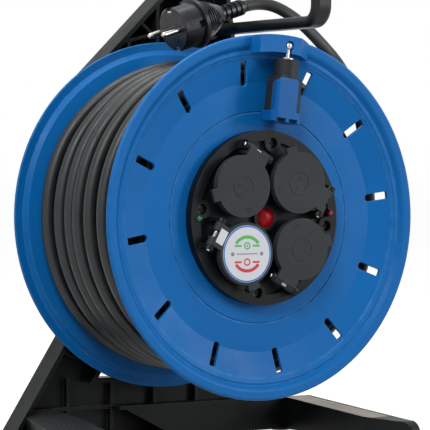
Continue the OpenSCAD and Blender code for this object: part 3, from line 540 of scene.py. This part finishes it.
def add(ob, body, material):
    """Dresses a piece and has it ride on a body."""
    dress(ob, material)
    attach(ob, body)


# ---------------------------------------------------------------- free cable and plug

LANE_R, LANE_Y = 124.3, -55.0                   # the free cable's lane beside the turns
TILT, YAW = math.radians(17), math.radians(4)   # of the parked plug
PLUG_LENGTH = 75.0                              # from its nose's face to PLUG_END
PLUG_END = Vector((45.0, 16.0, 364.0))          # where the cable leaves it
PLUG_DIR = Vector((math.cos(TILT) * math.cos(YAW), math.cos(TILT) * math.sin(YAW),
                   math.sin(TILT)))


def free_cable():
    """The cable from the plug over the handle's lower bar, then down its lane to the turns."""
    route = [PLUG_END, PLUG_END + PLUG_DIR * 10.0]
    route += [Vector(p) for p in (
        (65, 16, 368), (75, 12, 366), (84, 7, 360), (90, 1, 354), (96, -9, 344), (99, -18, 335),
        (101, -27, 327), (103, -38, 318), (109, -45, 302), (113, -49, 290), (116, -52, 274),
        (119, -54, 254), (121, -55, 231))]
    for a in range(6, -103, -12):
        c, s = math.cos(math.radians(a)), math.sin(math.radians(a))
        route.append(Vector((LANE_R * c, LANE_Y, AXIS_H + LANE_R * s)))
    path = [p * 0.001 for p in relaxed(smooth_path(route, 3.0), 24)]
    verts, faces = tube_data(path, CABLE_R * 0.001, sides=20)
    ob = put("free_cable", verts, faces)
    length = sum((b - a).length for a, b in zip(path, path[1:]))
    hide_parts("cord_free")
    add(ob, "frame", CABLE)
    tuple(path[-1])
    [tuple(p) for p in reversed(path)]


def in_plug(x, y, z):
    """A point of the plug's own frame: +x runs from its nose's face to the cable end."""
    x -= PLUG_LENGTH
    c, s = math.cos(TILT), math.sin(TILT)
    x, z = x * c - z * s, x * s + z * c
    c, s = math.cos(YAW), math.sin(YAW)
    return (PLUG_END + Vector((x * c - y * s, x * s + y * c, z))) * 0.001


def plug_grips():
    """Oval fields of raised ribs on both sides of the plug's body."""
    first, pitch = 27.6, 2.5
    half_arcs = (24, 33, 38, 38, 34, 26)    # degrees, from the first rib to the last
    section = [(-0.75, -0.3), (-0.55, 0.55), (0.55, 0.55), (0.75, -0.3)]    # along x, outward
    count = 15                              # sections along a rib

    def body_r(x):
        if x > 35:
            return 16.2 + (x - 35.0) * (8.8 - 16.2) / 13.0
        return 17.9 - (x - 26.0) * 0.19

    parts = []
    for side in (-1, 1):
        for i, half in enumerate(half_arcs):
            x = first + pitch * i
            verts, faces = [], []
            for j in range(count):
                a = math.radians(side * 90 - half + 2.0 * half * j / (count - 1))
                fade = min(1.0, 2.2 * math.sin(math.pi * (j + 0.5) / count))
                for dx, dr in section:
                    r = body_r(x + dx) + (dr if dr < 0 else dr * fade)
                    verts.append(in_plug(x + dx, r * math.sin(a), r * math.cos(a)))
            for j in range(count - 1):
                for k in range(4):
                    a, b = 4 * j + k, 4 * j + (k + 1) % 4
                    faces.append((a, b, b + 4, a + 4))
            faces += [(0, 1, 2, 3), tuple(4 * count - 4 + k for k in (3, 2, 1, 0))]
            parts.append((verts, faces))
    ob = joined("plug_grip_ribs", parts)
    fix_normals(ob)
    sharpen(ob, 50)
    add(ob, "frame", PLUG)


free_cable()
plug_grips()

# ---------------------------------------------------------------- wound cable


def wound_path(knots, radius, wander, seed, step, start=0.0, end_drop=0.0):
    """Points of a cable wound clockwise seen from the front, through knots of (degrees, y).

    It sinks by end_drop over its last 60 degrees.
    """
    shift = random.Random(seed).random() * 50
    points = []
    first, last = knots[0][0], knots[-1][0]
    count = int((last - first) / step)
    knot = 0
    for i in range(count + 1):
        s = first + (last - first) * i / count
        while knot < len(knots) - 2 and s > knots[knot + 1][0]:
            knot += 1
        (s0, y0), (s1, y1) = knots[knot], knots[knot + 1]
        t = min(1.0, max(0.0, (s - s0) / (s1 - s0)))
        t = t * t * (3 - 2 * t)
        sway = noise.noise(Vector((s / 47.0 + shift, 3.1, 0))) * wander
        lift = noise.noise(Vector((s / 61.0 + shift, 9.7, 0))) * wander * 0.35
        r = radius + abs(lift)
        if last - s < 60:
            r -= end_drop * (1 - (last - s) / 60.0) ** 2
        points.append(polar(r, -(s + start), y0 + (y1 - y0) * t + sway))
    return points


def outer_turns():
    """The layer that shows. Each turn draws forward from the left side up to the top."""
    # Depths on the left side, from the outgoing end towards the frame, and how far each draws in
    rows = (44.5, 65.0, 83.0, 95.5, 112.0, 133.0)
    pulls = (0.0, 4.0, 8.0, 9.0, 11.0, 12.0)
    knots = [(101.0, 40.6)]
    for i, (y, pull) in enumerate(zip(rows, pulls)):
        s = 360 * i
        knots += [(160.0 + s, y), (204.0 + s, y + 0.4), (262.0 + s, y - pull)]
    knots.append((262.0 + 360 * (len(rows) - 1) + 100, 136.6))
    path = wound_path(knots, 123.4, 0.5, 3, step=4.0, start=-DRUM_TURN, end_drop=10.0)
    ob = put("cable_outer_turns", *tube_data(path, CABLE_R * 0.001, sides=16))
    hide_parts("winding_outer")
    add(ob, "drum", CABLE)


def inner_layers():
    """The top of the layer below, over a plain ring for all that is under it."""
    first, pitch, half_turns = 17.9, 5.20, 24
    knots = [(360.0 * i / 2, first + pitch * i) for i in range(half_turns)]
    path = wound_path(knots, 112.9, 0.15, 8, step=6.0)
    ring = [(79.0, 12.5), (109.0, 12.5), (109.0, 139.0), (79.0, 139.0)]
    ob = joined("cable_inner_layers", [tube_data(path, CABLE_R * 0.001, sides=12),
                                       lathe_data(ring, polar, 96)])
    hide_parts("winding_core")
    sharpen(ob)
    # Drawn in the darker cable copy: painted shade for the turns deep in the winding.
    add(ob, "drum", CABLE_PAINTED_SHADE)


outer_turns()
inner_layers()

# ---------------------------------------------------------------- lids and insert


def lid_marks():
    """Plain raised marks on the three dark lids: a ring, two dots, two bars and short ribs."""
    y, high = LID_FACE - 0.35, 0.4
    for k, body in ((0, "lid_1"), (1, "lid_2"), (3, "lid_4")):
        def place(x, y, z, k=k):
            return socket(k, x, y, z)
        parts = [disc_data(place, 9.6, y, 8.7, thick=high)]
        parts += [disc_data(place, 1.3, y, z=z, thick=high, steps=20) for z in (-3.6, 3.6)]
        parts += [bar_data(place, x, 0, 3.0, 1.1, y, thick=high) for x in (-7.4, 7.4)]
        for deg in (-52, -45, -38):
            c, s = math.cos(math.radians(deg)), math.sin(math.radians(deg))
            parts.append(bar_data(place, -19.2 * c, 19.2 * s, 3.4, 0.7, y, thick=high, turn=-deg))
        ob = joined("lid_mark_%d" % (k + 1), parts)
        fix_normals(ob)
        sharpen(ob)
        add(ob, body, LID_BLACK)


def label_art():
    """Plain coloured shapes on the white label: a border, a green bow over and a red bow under."""
    def place(x, y, z):
        # x to the right and z up, seen from the front with the drum at rest
        a = math.radians(150.0)
        return socket(2, x * math.cos(a) + z * math.sin(a), y, -x * math.sin(a) + z * math.cos(a))
    y = LID_FACE - 0.27
    groups = (
        ("label_border", INK_BLUE, [disc_data(place, 22.3, y, 21.0, steps=96)]),
        ("label_green", INK_GREEN, [
            disc_data(place, 14.6, y, 12.0, steps=40, a0=38, a1=142),
            disc_data(place, 3.0, y, 1.9, steps=32, z=6.4), disc_data(place, 0.9, y, z=6.4),
            bar_data(place, 8.4, 6.4, 6.5, 1.5, y), bar_data(place, -8.4, 6.4, 6.5, 1.5, y)]),
        ("label_red", INK_RED, [
            disc_data(place, 14.6, y, 12.0, steps=40, a0=218, a1=322),
            disc_data(place, 3.0, y, 1.9, steps=32, z=-6.4),
            bar_data(place, 8.4, -6.4, 6.5, 1.5, y), bar_data(place, -8.4, -6.4, 6.5, 1.5, y)]),
        ("label_grey", INK_GREY, [bar_data(place, 0, 0, 20.0, 0.8, y),
                                  disc_data(place, 1.6, y, x=-13.6, steps=24),
                                  disc_data(place, 1.6, y, x=13.6, steps=24)]),
    )
    for name, material, parts in groups:
        ob = joined(name, parts)
        fix_normals(ob)
        sharpen(ob)
        add(ob, "lid_3", material)


def hinge_details():
    """Coiled lid springs with one leg each, and the domed ends of the hinge pins."""
    turns, coil_r, coil_half, wire_r = 5.2, 2.15, 2.6, 0.42
    steps = 16
    leg = ((2.2, -2.5, 2.75), (1.6, 2.0, 2.8), (1.2, 4.1, 2.8))
    pin_half = 13.55
    dome = [(0.0, 1.05), (0.7, 1.0), (1.35, 0.75), (1.75, 0.3), (1.85, 0.0), (0.0, 0.0)]
    parts = []
    for k in range(4):
        path = []
        for j in range(int(turns * steps) + 1):
            a = 2 * math.pi * j / steps
            z = -coil_half + 2 * coil_half * j / (turns * steps)
            path.append(socket(k, HINGE_X + coil_r * math.cos(a),
                               HINGE_Y + coil_r * math.sin(a), z))
        path += [socket(k, HINGE_X + x, y, z) for x, y, z in leg]
        parts.append(tube_data(path, wire_r * 0.001, sides=8))
        for side in (-1, 1):
            def place(r, a, y, k=k, side=side):
                return socket(k, HINGE_X + r * math.cos(math.radians(a)),
                              HINGE_Y + r * math.sin(math.radians(a)), side * (pin_half + y))
            parts.append(lathe_data(dome, place, 20))
    ob = joined("lid_spring_coils", parts)
    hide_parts("lid_springs")
    fix_normals(ob)
    sharpen(ob, 50)
    add(ob, "drum", CHROME)


lid_marks()
label_art()
hinge_details()

# ---------------------------------------------------------------- stage and light
# The floor and the world look white to the camera and in reflections. Other rays get a plain,
# lower level from them, and the lamps light the object.

FLOOR_GREY = 0.30
FLOOR_GLOW = 0.83       # brings the lit floor up to white for background_rays
WORLD_LIGHT = 0.22


def background_rays(tree):
    """1 for camera, glossy and transmission rays, else 0."""
    path = tree.nodes.new("ShaderNodeLightPath")
    seen = path.outputs["Is Camera Ray"]
    for ray in ("Is Glossy Ray", "Is Transmission Ray"):
        either = tree.nodes.new("ShaderNodeMath")
        either.operation = "MAXIMUM"
        tree.links.new(seen, either.inputs[0])
        tree.links.new(path.outputs[ray], either.inputs[1])
        seen = either.outputs[0]
    return seen


def floor():
    size = 30.0
    verts = [(-size, -size, 0), (size, -size, 0), (size, size, 0), (-size, size, 0)]
    ob = put("floor", verts, [(0, 1, 2, 3)], smooth=False)
    n = Nodes(bpy.data.materials.new("floor_pale"))
    n.bsdf.inputs["Base Color"].default_value = (FLOOR_GREY, FLOOR_GREY, FLOOR_GREY, 1)
    n.bsdf.inputs["Roughness"].default_value = 0.7
    n.bsdf.inputs["Specular IOR Level"].default_value = 0.1
    glow = n.new("ShaderNodeEmission")
    glow.inputs["Color"].default_value = (1, 1, 1, 1)
    n.link(n.math("MULTIPLY", background_rays(n.tree), FLOOR_GLOW), glow.inputs["Strength"])
    both = n.new("ShaderNodeAddShader")
    n.link(n.bsdf.outputs[0], both.inputs[0])
    n.link(glow.outputs[0], both.inputs[1])
    n.link(both.outputs[0], n.tree.nodes["Material Output"].inputs["Surface"])
    dress(ob, n.mat)


def sky():
    world = bpy.data.worlds.new("studio")
    bpy.context.scene.world = world
    world.use_nodes = True
    tree = world.node_tree
    level = tree.nodes.new("ShaderNodeMapRange")
    level.inputs["To Min"].default_value = WORLD_LIGHT
    level.inputs["To Max"].default_value = 1.0
    tree.links.new(background_rays(tree), level.inputs["Value"])
    back = tree.nodes["Background"]
    back.inputs["Color"].default_value = (1, 1, 1, 1)
    tree.links.new(level.outputs["Result"], back.inputs["Strength"])


def lamp(name, place, size, watts):
    """An area lamp that faces the middle of the drum."""
    aim = Vector((0, 0, 0.2))
    data = bpy.data.lights.new(name, "AREA")
    data.shape = "RECTANGLE"
    data.size, data.size_y = size
    data.energy = watts
    ob = bpy.data.objects.new(name, data)
    ob.location = place
    ob.rotation_euler = (aim - Vector(place)).to_track_quat("-Z", "Y").to_euler()
    bpy.context.scene.collection.objects.link(ob)


floor()
sky()
lamp("key", (-1.5, -1.5, 1.8), (1.0, 1.0), 39)
lamp("side", (1.7, -1.8, 0.9), (0.8, 1.3), 26)
lamp("top", (-0.2, 0.1, 2.1), (1.2, 1.2), 29)

bpy.context.scene.view_settings.view_transform = "Standard"
